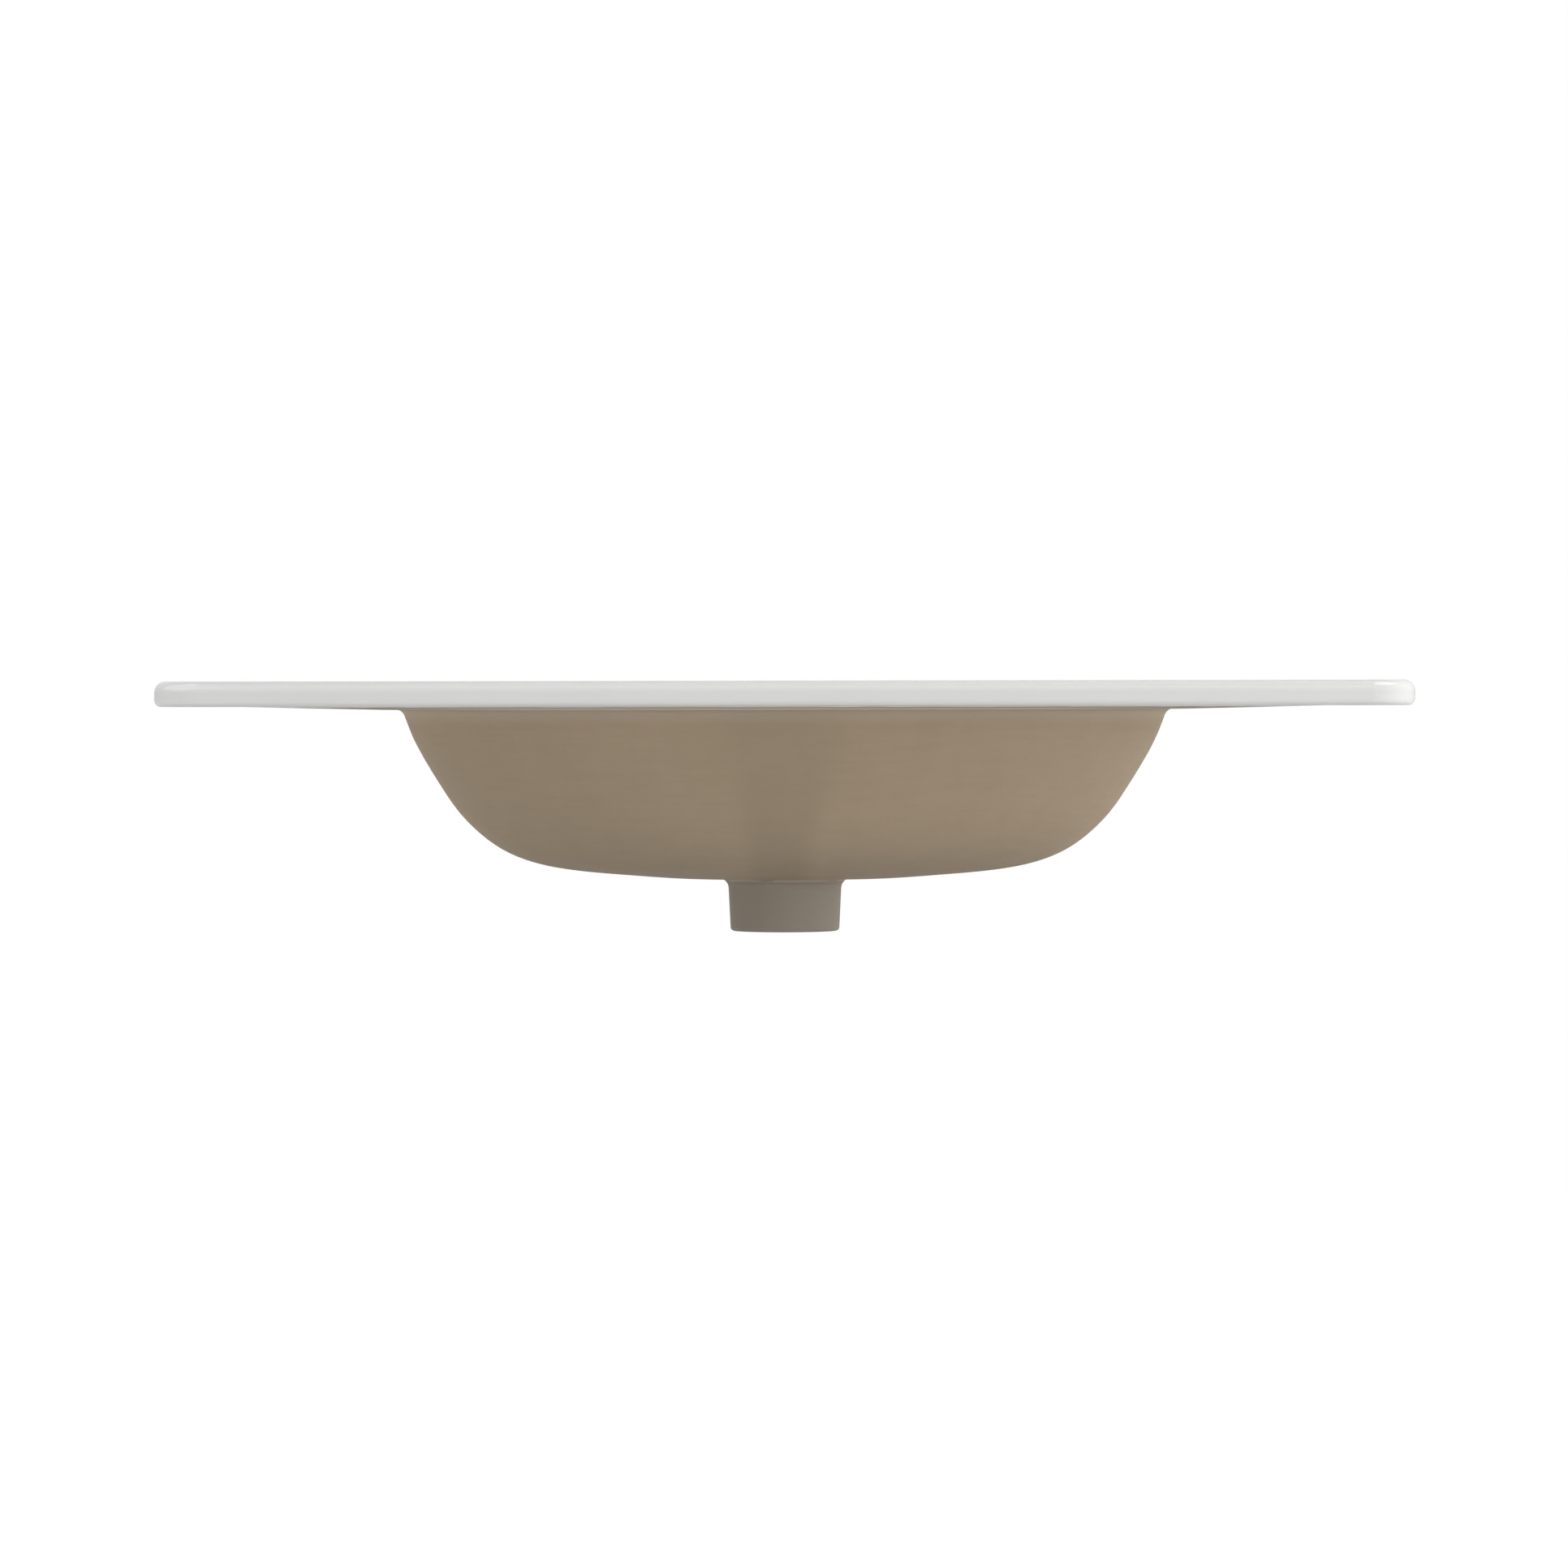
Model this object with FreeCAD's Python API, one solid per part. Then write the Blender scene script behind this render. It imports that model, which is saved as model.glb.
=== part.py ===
import FreeCAD, Part
import math
import os

# A drop-in bathroom basin with its push-to-open waste, in millimetres.
# The origin is the middle of the deck's underside, where the deck rests on its counter.
# +Z points up, +X to the right of someone standing at the basin, and -Y towards them.

# Deck: the flat slab round the bowl
DECK_WIDTH = 792.0
DECK_DEPTH = 483.0
DECK_THICKNESS = 16.0
DECK_CORNER_RADIUS = 28.0
DECK_TOP_ROUND = 7.0
DECK_BOTTOM_ROUND = 4.3

# Pad: the deck's underside thickens towards the bowl, inside the flat band that rests on the counter
PAD_DROP = 2.4
PAD_RUN = 1.6
PAD_LEDGE = 3.0
PAD_CORNER_RADIUS = 20.0
PAD_INNER_CORNER_SHARE = 0.6

# Bowl: the ledges are the deck left on each side of it, at the deck's underside
SIDE_LEDGE = 144.0
FRONT_LEDGE = 55.0
BACK_LEDGE = 88.0
BOWL_DROP = 115.0
SIDE_WALL = 10.5
FRONT_WALL = 17.0
BACK_WALL = 10.5
FLOOR_THICKNESS = 17.0
BOWL_ROOT_FILLET = 6.0
BOWL_RIM_ROUND = 9.0
OUTLINE_POINTS = 48

# Bowl profile: how far down, and the half size left there, as shares of the drop and of the rim
BOWL_SHARES = (
    (-0.06, 1.014),
    (0.0, 1.0),
    (0.15, 0.974),
    (0.30, 0.940),
    (0.45, 0.8985),
    (0.60, 0.852),
    (0.72, 0.800),
    (0.82, 0.738),
    (0.895, 0.656),
    (0.94, 0.55),
    (0.97, 0.40),
    (0.99, 0.22),
    (1.0, 0.10),
)
# Plan of the bowl: an oval squarer at the rim than at the drain
RIM_POWER = 2.5
DRAIN_POWER = 2.0

# Tap hole in the back of the deck
TAP_RADIUS = 17.5
TAP_LAND = 10.5
TAP_EDGE_ROUND = 1.5
TAP_PLACE_SHARE = 0.54

# Overflow: a hole in the bowl's front wall, its trim ring and a duct inside the wall to the drain
OVERFLOW_DROP = 36.0
OVERFLOW_RADIUS = 11.5
RING_LAND = 3.5
RING_THICKNESS = 2.0
RING_WALL = 2.0
RING_SLEEVE = 5.0
RING_ROOM = 0.6
RING_FIT = 0.25
RING_EDGE_ROUND = 0.9
SPOT_DEPTH = 1.0
DUCT_WIDTH = 32.0
DUCT_MOUTH = 6.0
DUCT_INNER_SHARE = 0.32
DUCT_OUTER_SHARE = 0.68
DUCT_SHARES = (0.16, 0.30, 0.45, 0.60, 0.72, 0.82, 0.895, 0.94, 0.97)

# Waste body: a flange in the bowl, a threaded tube through the drain and a plain tail
TAIL_RADIUS = 15.875
TAIL_WALL = 1.5
TAIL_LENGTH = 11.5
TAIL_CHAMFER = 0.8
TAIL_INSET = 0.8
BODY_STEP = 4.625
BODY_WALL = 3.0
THREAD_RUNOUT = 3.0
BORE_ROOM = 1.75
FLANGE_LAND = 10.0
FLANGE_THICKNESS = 4.0
FLANGE_EDGE = 1.6
FLANGE_CROWN = 3.0
FLANGE_LIP = 5.25
FLANGE_ROOM = 1.25
PLUG_SEAT_DEPTH = 2.2
PLUG_SEAT_TAPER = 0.6
WINDOW_WIDTH = 13.0
WINDOW_MARGIN = 1.0
WINDOW_COUNT = 4
CROSSBAR_HEIGHT = 4.0
CROSSBAR_WIDTH = 3.5
CROSSBAR_ARMS = 3

# Drain in the ceramic and the outlet boss round it
RECESS_DEPTH = 4.0
RECESS_TAPER = 2.0
RECESS_EDGE_ROUND = 1.2
WEB_THICKNESS = 15.0
NUT_ROOM = 1.2
BOSS_WALL = 6.15
BOSS_DRAFT = 1.6
BOSS_TOP_FILLET = 7.0
FLOOR_FLAT_SHARE = 0.40
FILLET_ROOM_SHARE = 0.28
BOSS_EDGE_ROUND = 2.4

# Clamping stack: seal under the flange, then seal, washer and nut under the ceramic
FLANGE_SEAL_THICKNESS = 1.5
FLANGE_SEAL_INSET = 1.2
LOWER_SEAL_THICKNESS = 5.0
LOWER_SEAL_NOSE = 2.5
LOWER_SEAL_NOSE_TAPER = 0.9
LOWER_SEAL_INSET = 1.5
STACK_FIT = 0.2
WASHER_THICKNESS = 1.5
NUT_HEIGHT = 8.0
NUT_WALL = 4.0
NUT_BEVEL = 1.6
THREAD_FIT = 0.05

# Push cartridge on the crossbar
CARTRIDGE_RADIUS = 7.5
CARTRIDGE_WALL = 1.5
CARTRIDGE_FLOOR = 3.0
COLLAR_HEIGHT = 3.5
COLLAR_LIP = 0.8
COLLAR_GAP = 2.0
SCREW_RADIUS = 2.5
SCREW_HEAD_RADIUS = 4.5
SCREW_HEAD_HEIGHT = 2.5
SCREW_SLOT_WIDTH = 1.2
SCREW_SLOT_DEPTH = 1.2
SCREW_TIP_GAP = 0.5
SCREW_HOLE_ROOM = 0.2
PLUNGER_RADIUS = 3.5
PLUNGER_FIT = 0.08
HEAD_HEIGHT = 3.0
STOP_GAP = 0.3
MOVING_ROOM = 0.4
TOOTH_HEIGHT = 1.2
TOOTH_GAP = 0.3
TOOTH_COUNT = 8
ROTOR_HEIGHT = 3.0
SPRING_ROOM = 7.0
SPRING_WIRE = 0.8
SPRING_END_GAP = 0.1
SPRING_TURNS = 4

# Plug: a domed cap with its seal, on the plunger's stud
PLUG_TRAVEL = 8.0
PLUG_GAP = 0.3
CAP_OVERLAP = 2.0
CAP_RIM = 1.5
CAP_RISE = 4.5
CAP_RIM_ROUND = 0.7
CAP_POCKET = 2.5
CAP_BOSS_RADIUS = 6.0
CAP_BOSS_DROP = 3.3
PLUG_SEAL_ROOM = 0.8
PLUG_SEAL_WIDTH = 5.0
PLUG_SEAL_GROOVE = 0.8
STUD_RADIUS = 2.5
STUD_LENGTH = 4.0

# Every cut runs this far past the faces that it opens
OVERRUN = 5.0
# Edges nearer to a plane than this lie in it
NEAR = 0.01

# Bowl sizes that follow from the deck and its ledges
half_width = DECK_WIDTH / 2
half_depth = DECK_DEPTH / 2
bowl_half_length = half_width - SIDE_LEDGE
bowl_half_breadth = (DECK_DEPTH - FRONT_LEDGE - BACK_LEDGE) / 2
bowl_y = -half_depth + FRONT_LEDGE + bowl_half_breadth
hollow_y = bowl_y + (FRONT_WALL - BACK_WALL) / 2
hollow_drop = DECK_THICKNESS + BOWL_DROP - FLOOR_THICKNESS
drain_y = bowl_y

# Radii, from the tail outwards
tail_bore_radius = TAIL_RADIUS - TAIL_WALL
body_radius = TAIL_RADIUS + BODY_STEP
body_bore_radius = body_radius - BODY_WALL
bore_radius = body_radius + BORE_ROOM
flange_radius = bore_radius + FLANGE_LAND
recess_radius = flange_radius + FLANGE_ROOM
nut_bore_radius = body_radius + THREAD_FIT
nut_flat_radius = nut_bore_radius + NUT_WALL
nut_corner_radius = nut_flat_radius / math.cos(math.pi / 6)
skirt_radius = nut_corner_radius + NUT_ROOM
boss_radius = skirt_radius + BOSS_WALL
plug_seat_radius = flange_radius - FLANGE_LIP
cap_radius = plug_seat_radius + CAP_OVERLAP
plug_seal_outer = plug_seat_radius - PLUG_SEAL_ROOM
plug_seal_inner = plug_seal_outer - PLUG_SEAL_WIDTH
cartridge_bore_radius = CARTRIDGE_RADIUS - CARTRIDGE_WALL
moving_radius = cartridge_bore_radius - MOVING_ROOM

# Levels, from the bowl's floor down
floor_z = -BOWL_DROP + FLOOR_THICKNESS
flange_seat_z = floor_z - RECESS_DEPTH
flange_bottom_z = flange_seat_z + FLANGE_SEAL_THICKNESS
flange_top_z = flange_bottom_z + FLANGE_THICKNESS
plug_seat_z = flange_top_z - PLUG_SEAT_DEPTH
cap_bottom_z = flange_top_z + PLUG_GAP
cap_boss_z = cap_bottom_z - CAP_BOSS_DROP
collar_top_z = cap_boss_z - COLLAR_GAP
housing_top_z = collar_top_z - COLLAR_HEIGHT
head_top_z = housing_top_z - STOP_GAP - PLUG_TRAVEL
head_bottom_z = head_top_z - HEAD_HEIGHT
rotor_top_z = head_bottom_z - TOOTH_HEIGHT - TOOTH_GAP - TOOTH_HEIGHT
rotor_bottom_z = rotor_top_z - ROTOR_HEIGHT
housing_floor_z = rotor_bottom_z - SPRING_ROOM
crossbar_top_z = housing_floor_z - CARTRIDGE_FLOOR
crossbar_bottom_z = crossbar_top_z - CROSSBAR_HEIGHT
nut_seat_z = flange_seat_z - WEB_THICKNESS
washer_top_z = nut_seat_z - LOWER_SEAL_THICKNESS
nut_top_z = washer_top_z - WASHER_THICKNESS
nut_bottom_z = nut_top_z - NUT_HEIGHT
body_end_z = min(crossbar_bottom_z, nut_bottom_z - THREAD_RUNOUT)
tail_end_z = body_end_z - TAIL_LENGTH
boss_bottom_z = tail_end_z - TAIL_INSET
duct_mouth_z = (flange_seat_z + nut_seat_z) / 2


def vector(x, y, z):
    return FreeCAD.Vector(x, y, z)


def size_share(depth_share):
    """Half size of the bowl at a depth, as a share of its half size at the rim."""
    for (upper, wide), (lower, narrow) in zip(BOWL_SHARES, BOWL_SHARES[1:]):
        if upper <= depth_share <= lower:
            return wide + (narrow - wide) * (depth_share - upper) / (lower - upper)
    return BOWL_SHARES[-1][1]


# The hollow's walls stand inside the bowl's at the deck's underside, and its rim follows from there
underside_share = size_share(DECK_THICKNESS / hollow_drop)
hollow_half_length = (bowl_half_length - SIDE_WALL) / underside_share
hollow_half_breadth = (bowl_half_breadth - (FRONT_WALL + BACK_WALL) / 2) / underside_share


def oval(half_x, half_y, middle_y, z, power):
    """Closed curve round a level oval; a power of 2 is an ellipse and more is squarer."""
    points = []
    for step in range(OUTLINE_POINTS):
        angle = math.tau * step / OUTLINE_POINTS
        across, along = math.cos(angle), math.sin(angle)
        reach = (abs(across) ** power + abs(along) ** power) ** (-1 / power)
        points.append(vector(half_x * across * reach, middle_y + half_y * along * reach, z))
    curve = Part.BSplineCurve()
    curve.interpolate(Points=points, PeriodicFlag=True)
    return Part.Wire([curve.toShape()])


def bowl_form(half_x, half_y, middle_y, top_z, drop):
    """Solid of the bowl's form, from just above its rim to the middle of its floor."""
    outlines = []
    for depth_share, width_share in BOWL_SHARES:
        power = RIM_POWER + (DRAIN_POWER - RIM_POWER) * max(depth_share, 0)
        z = top_z - drop * depth_share
        outlines.append(oval(half_x * width_share, half_y * width_share, middle_y, z, power))
    return Part.makeLoft(outlines, True, False)


def rounded_rectangle(half_x, half_y, middle_y, corner, z):
    """Wire round a level rectangle with rounded corners."""
    diagonal = corner * math.sqrt(0.5)
    centres = (
        (half_x - corner, half_y - corner, 0),
        (-half_x + corner, half_y - corner, 90),
        (-half_x + corner, -half_y + corner, 180),
        (half_x - corner, -half_y + corner, 270),
    )
    arcs = []
    for x, y, turn in centres:
        centre = vector(x, middle_y + y, z)
        spin = FreeCAD.Rotation(vector(0, 0, 1), turn)
        start = centre + spin.multVec(vector(corner, 0, 0))
        middle = centre + spin.multVec(vector(diagonal, diagonal, 0))
        end = centre + spin.multVec(vector(0, corner, 0))
        arcs.append(Part.Arc(start, middle, end))
    edges = []
    for arc, following in zip(arcs, arcs[1:] + arcs[:1]):
        edges.append(arc.toShape())
        edges.append(Part.LineSegment(arc.EndPoint, following.StartPoint).toShape())
    return Part.Wire(edges)


def turned(points):
    """Solid of revolution round the drain's axis, from (radius, z) points in order."""
    corners = [vector(radius, drain_y, z) for radius, z in points]
    face = Part.Face(Part.makePolygon(corners + corners[:1]))
    return face.revolve(vector(0, drain_y, 0), vector(0, 0, 1), 360)


def drain_cylinder(radius, low_z, high_z):
    return Part.makeCylinder(radius, high_z - low_z, vector(0, drain_y, low_z))


def drain_ring(inner, outer, low_z, high_z):
    return drain_cylinder(outer, low_z, high_z).cut(drain_cylinder(inner, low_z, high_z))


def edges_at(shape, z):
    """Edges that lie in the level plane at z."""
    level = []
    for edge in shape.Edges:
        box = edge.BoundBox
        if abs(box.ZMin - z) < NEAR and abs(box.ZMax - z) < NEAR:
            level.append(edge)
    return level


def edges_between(shape, low_z, high_z):
    """Edges that lie wholly between two levels."""
    between = []
    for edge in shape.Edges:
        box = edge.BoundBox
        if low_z < box.ZMin and box.ZMax < high_z:
            between.append(edge)
    return between


def closed_edges_between(shape, low_z, high_z):
    """Edges that close on themselves, such as the mouth of a hole, between two levels."""
    return [edge for edge in edges_between(shape, low_z, high_z) if edge.isClosed()]


def deck():
    outline = rounded_rectangle(half_width, half_depth, 0, DECK_CORNER_RADIUS, 0)
    slab = Part.Face(outline).extrude(vector(0, 0, DECK_THICKNESS))
    slab = slab.makeFillet(DECK_TOP_ROUND, edges_at(slab, DECK_THICKNESS))
    return slab.makeFillet(DECK_BOTTOM_ROUND, edges_at(slab, 0))


def pad():
    """Thicker middle of the deck's underside, sloping down to the bowl's root."""
    root = BOWL_ROOT_FILLET + PAD_LEDGE
    band = FRONT_LEDGE - root - PAD_RUN
    outer = rounded_rectangle(half_width - band, half_depth - band, 0, PAD_CORNER_RADIUS, 0)
    inner_corner = bowl_half_breadth * PAD_INNER_CORNER_SHARE
    inner_x = bowl_half_length + root
    inner_y = bowl_half_breadth + root
    inner = rounded_rectangle(inner_x, inner_y, bowl_y, inner_corner, -PAD_DROP)
    return Part.makeLoft([outer, inner], True, True)


def boss():
    top_z = -BOWL_DROP + FLOOR_THICKNESS / 2
    height = top_z - boss_bottom_z
    top_radius = boss_radius + BOSS_DRAFT * height / (-BOWL_DROP - boss_bottom_z)
    foot = vector(0, drain_y, boss_bottom_z)
    cone = Part.makeCone(boss_radius, top_radius, height, foot)
    cone = cone.makeFillet(BOSS_EDGE_ROUND, edges_at(cone, boss_bottom_z))
    # Half a turn keeps the cone's seam away from the bowl's seam
    cone.rotate(foot, vector(0, 0, 1), 180)
    return cone


def boss_fillet():
    """Fillet over the boss, kept to the flat of the bowl's floor round it."""
    room = bowl_half_breadth * FLOOR_FLAT_SHARE - boss_radius - BOSS_DRAFT
    return min(BOSS_TOP_FILLET, room * FILLET_ROOM_SHARE)


def drain_cut():
    """Flange recess, bore and the skirt's hollow, turned in one piece."""
    rise = floor_z + RECESS_DEPTH
    taper = RECESS_TAPER * (rise - flange_seat_z) / RECESS_DEPTH
    return turned([
        (0, rise),
        (recess_radius + taper, rise),
        (recess_radius, flange_seat_z),
        (bore_radius, flange_seat_z),
        (bore_radius, nut_seat_z),
        (skirt_radius, nut_seat_z),
        (skirt_radius, boss_bottom_z - OVERRUN),
        (0, boss_bottom_z - OVERRUN),
    ])


def hollow_front(depth_share):
    """Point on the hollow's front wall, in the middle plane."""
    y = hollow_y - hollow_half_breadth * size_share(depth_share)
    return vector(0, y, DECK_THICKNESS - hollow_drop * depth_share)


def bowl_front(depth_share):
    """Point on the bowl's outer front wall, in the middle plane."""
    y = bowl_y - bowl_half_breadth * size_share(depth_share)
    return vector(0, y, -BOWL_DROP * depth_share)


def within_wall(depth_share, wall_share):
    """Point inside the front wall, from 0 on the hollow's face to 1 on the outer face."""
    inner = hollow_front(depth_share)
    return inner + (bowl_front(depth_share) - inner) * wall_share


def duct_cut():
    """Channel inside the front wall and floor, from behind the overflow to the drain's bore."""
    mouth_y = drain_y - body_radius
    mouth_half = DUCT_MOUTH / 2
    inner = [within_wall(share, DUCT_INNER_SHARE) for share in DUCT_SHARES]
    outer = [within_wall(share, DUCT_OUTER_SHARE) for share in DUCT_SHARES]
    inner.append(vector(0, mouth_y, duct_mouth_z + mouth_half))
    outer.append(vector(0, mouth_y, duct_mouth_z - mouth_half))
    corners = inner + outer[::-1]
    side = Part.Face(Part.makePolygon(corners + corners[:1]))
    side.translate(vector(-DUCT_WIDTH / 2, 0, 0))
    return side.extrude(vector(DUCT_WIDTH, 0, 0))


overflow_share = OVERFLOW_DROP / hollow_drop
overflow_point = hollow_front(overflow_share)
# The trim ring faces square out of the wall, along the normal measured over one hole's height
overflow_reach_share = OVERFLOW_RADIUS / hollow_drop
wall_rise = hollow_front(overflow_share - overflow_reach_share)
wall_rise = wall_rise - hollow_front(overflow_share + overflow_reach_share)
overflow_normal = vector(0, wall_rise.z, -wall_rise.y)
overflow_normal.normalize()
spot_centre = overflow_point - overflow_normal * SPOT_DEPTH


def overflow_cylinder(radius, back, front):
    """Cylinder along the overflow's axis, from behind the ring's seat to in front of it."""
    base = spot_centre - overflow_normal * back
    return Part.makeCylinder(radius, back + front, base, overflow_normal)


def overflow_cut():
    wall = (overflow_point - bowl_front(overflow_share)).dot(overflow_normal)
    depth = wall * (DUCT_INNER_SHARE + DUCT_OUTER_SHARE) / 2
    hole = overflow_cylinder(OVERFLOW_RADIUS, depth, OVERRUN)
    return hole.fuse(overflow_cylinder(OVERFLOW_RADIUS + RING_LAND + RING_ROOM, 0, OVERRUN))


tap_y = half_depth - BACK_LEDGE * TAP_PLACE_SHARE


def tap_cut():
    """Tap hole through the deck, with a flat land under it for the tap's washer."""
    base = vector(0, tap_y, -PAD_DROP - OVERRUN)
    hole = Part.makeCylinder(TAP_RADIUS, DECK_THICKNESS + PAD_DROP + OVERRUN + OVERRUN, base)
    land = Part.makeCylinder(TAP_RADIUS + TAP_LAND, PAD_DROP + OVERRUN, base)
    return hole.fuse(land)


def basin():
    body = deck().fuse([pad(), bowl_form(bowl_half_length, bowl_half_breadth, bowl_y, 0, BOWL_DROP)])
    body = body.removeSplitter()
    root = closed_edges_between(body, -PAD_DROP - NEAR, -PAD_DROP + NEAR)
    body = body.makeFillet(BOWL_ROOT_FILLET, root)
    body = body.fuse(boss())
    joint = edges_between(body, -BOWL_DROP - NEAR, -BOWL_DROP + FLOOR_THICKNESS / 2)
    body = body.makeFillet(boss_fillet(), joint)
    body = body.cut(bowl_form(
        hollow_half_length, hollow_half_breadth, hollow_y, DECK_THICKNESS, hollow_drop))
    rim = closed_edges_between(body, DECK_THICKNESS - NEAR, DECK_THICKNESS + NEAR)
    body = body.makeFillet(BOWL_RIM_ROUND, rim)
    body = body.cut(drain_cut())
    lip = edges_between(body, flange_seat_z + NEAR, floor_z + RECESS_DEPTH)
    body = body.makeFillet(RECESS_EDGE_ROUND, lip)
    body = body.cut([duct_cut(), overflow_cut(), tap_cut()])
    mouth = closed_edges_between(body, DECK_THICKNESS - NEAR, DECK_THICKNESS + NEAR)
    mouth = [edge for edge in mouth if edge.BoundBox.XLength < TAP_RADIUS * 2 + NEAR]
    return body.makeFillet(TAP_EDGE_ROUND, mouth).removeSplitter()


def overflow_ring():
    flange = overflow_cylinder(OVERFLOW_RADIUS + RING_LAND, 0, RING_THICKNESS)
    face = [edge for edge in flange.Edges if edge.isClosed()]
    face = [edge for edge in face if (edge.CenterOfMass - spot_centre).Length > RING_THICKNESS / 2]
    flange = flange.makeFillet(RING_EDGE_ROUND, face)
    sleeve_radius = OVERFLOW_RADIUS - RING_FIT
    ring = flange.fuse(overflow_cylinder(sleeve_radius, RING_SLEEVE, 0))
    ring = ring.removeSplitter()
    return ring.cut(overflow_cylinder(sleeve_radius - RING_WALL, RING_SLEEVE + OVERRUN, OVERRUN))


def flange_seal():
    return drain_ring(bore_radius, flange_radius - FLANGE_SEAL_INSET, flange_seat_z, flange_bottom_z)


def crossbar():
    """Hub in the middle of the tube, carried by arms that run into its wall."""
    bar = drain_cylinder(CARTRIDGE_RADIUS, crossbar_bottom_z, crossbar_top_z)
    reach = (body_bore_radius + body_radius) / 2
    for arm in range(CROSSBAR_ARMS):
        corner = vector(0, -CROSSBAR_WIDTH / 2, crossbar_bottom_z)
        beam = Part.makeBox(reach, CROSSBAR_WIDTH, CROSSBAR_HEIGHT, corner)
        beam.rotate(vector(0, 0, 0), vector(0, 0, 1), 90 + 360 * arm / CROSSBAR_ARMS)
        beam.translate(vector(0, drain_y, 0))
        bar = bar.fuse(beam)
    hole_radius = SCREW_RADIUS + SCREW_HOLE_ROOM
    return bar.cut(drain_cylinder(hole_radius, crossbar_bottom_z - OVERRUN, crossbar_top_z + OVERRUN))


def windows():
    """Openings in the tube that let overflow water in, level with the duct's mouth."""
    height = DUCT_MOUTH + WINDOW_MARGIN * 2
    cuts = []
    for turn in range(WINDOW_COUNT):
        corner = vector(body_bore_radius / 2, -WINDOW_WIDTH / 2, duct_mouth_z - height / 2)
        cut = Part.makeBox(body_radius, WINDOW_WIDTH, height, corner)
        cut.rotate(vector(0, 0, 0), vector(0, 0, 1), 90 + 360 * turn / WINDOW_COUNT)
        cut.translate(vector(0, drain_y, 0))
        cuts.append(cut)
    return cuts


def waste_body():
    shell = turned([
        (body_bore_radius, plug_seat_z),
        (plug_seat_radius, plug_seat_z),
        (plug_seat_radius + PLUG_SEAT_TAPER, flange_top_z),
        (flange_radius - FLANGE_CROWN, flange_top_z),
        (flange_radius, flange_bottom_z + FLANGE_EDGE),
        (flange_radius, flange_bottom_z),
        (body_radius, flange_bottom_z),
        (body_radius, body_end_z),
        (TAIL_RADIUS, body_end_z),
        (TAIL_RADIUS, tail_end_z + TAIL_CHAMFER),
        (TAIL_RADIUS - TAIL_CHAMFER, tail_end_z),
        (tail_bore_radius, tail_end_z),
        (tail_bore_radius, body_end_z + TAIL_WALL),
        (body_bore_radius, body_end_z + TAIL_WALL),
    ])
    shell = shell.cut(windows())
    return shell.fuse(crossbar()).removeSplitter()


def lower_seal():
    """Rubber ring with a cone nose that centres the tube in the bore."""
    inner = body_radius + STACK_FIT
    nose_radius = bore_radius - STACK_FIT
    return turned([
        (inner, washer_top_z),
        (skirt_radius - LOWER_SEAL_INSET, washer_top_z),
        (skirt_radius - LOWER_SEAL_INSET, nut_seat_z),
        (nose_radius, nut_seat_z),
        (nose_radius - LOWER_SEAL_NOSE_TAPER, nut_seat_z + LOWER_SEAL_NOSE),
        (inner, nut_seat_z + LOWER_SEAL_NOSE),
    ])


def friction_washer():
    outer = skirt_radius - LOWER_SEAL_INSET
    return drain_ring(body_radius + STACK_FIT, outer, nut_top_z, washer_top_z)


def back_nut():
    """Hexagon nut with its corners bevelled on both faces."""
    corners = []
    for step in range(6):
        angle = math.pi * step / 3
        x = nut_corner_radius * math.cos(angle)
        y = drain_y + nut_corner_radius * math.sin(angle)
        corners.append(vector(x, y, nut_bottom_z))
    prism = Part.Face(Part.makePolygon(corners + corners[:1])).extrude(vector(0, 0, NUT_HEIGHT))
    bevel = turned([
        (0, nut_top_z),
        (nut_corner_radius - NUT_BEVEL, nut_top_z),
        (nut_corner_radius, nut_top_z - NUT_BEVEL),
        (nut_corner_radius, nut_bottom_z + NUT_BEVEL),
        (nut_corner_radius - NUT_BEVEL, nut_bottom_z),
        (0, nut_bottom_z),
    ])
    bore = drain_cylinder(nut_bore_radius, nut_bottom_z - OVERRUN, nut_top_z + OVERRUN)
    return prism.common(bevel).cut(bore)


def cartridge_screw():
    tip_z = housing_floor_z - SCREW_TIP_GAP
    head_z = crossbar_bottom_z - SCREW_HEAD_HEIGHT
    screw = drain_cylinder(SCREW_HEAD_RADIUS, head_z, crossbar_bottom_z)
    screw = screw.fuse(drain_cylinder(SCREW_RADIUS, crossbar_bottom_z, tip_z)).removeSplitter()
    corner = vector(-SCREW_HEAD_RADIUS, drain_y - SCREW_SLOT_WIDTH / 2, head_z)
    slot = Part.makeBox(SCREW_HEAD_RADIUS * 2, SCREW_SLOT_WIDTH, SCREW_SLOT_DEPTH, corner)
    return screw.cut(slot)


def cartridge_housing():
    barrel = drain_cylinder(CARTRIDGE_RADIUS, crossbar_top_z, housing_top_z)
    barrel = barrel.cut(drain_cylinder(cartridge_bore_radius, housing_floor_z, housing_top_z))
    return barrel.cut(drain_cylinder(SCREW_RADIUS + THREAD_FIT, crossbar_top_z, housing_floor_z))


def cartridge_collar():
    bore = PLUNGER_RADIUS + PLUNGER_FIT
    return drain_ring(bore, CARTRIDGE_RADIUS + COLLAR_LIP, housing_top_z, collar_top_z)


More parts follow.
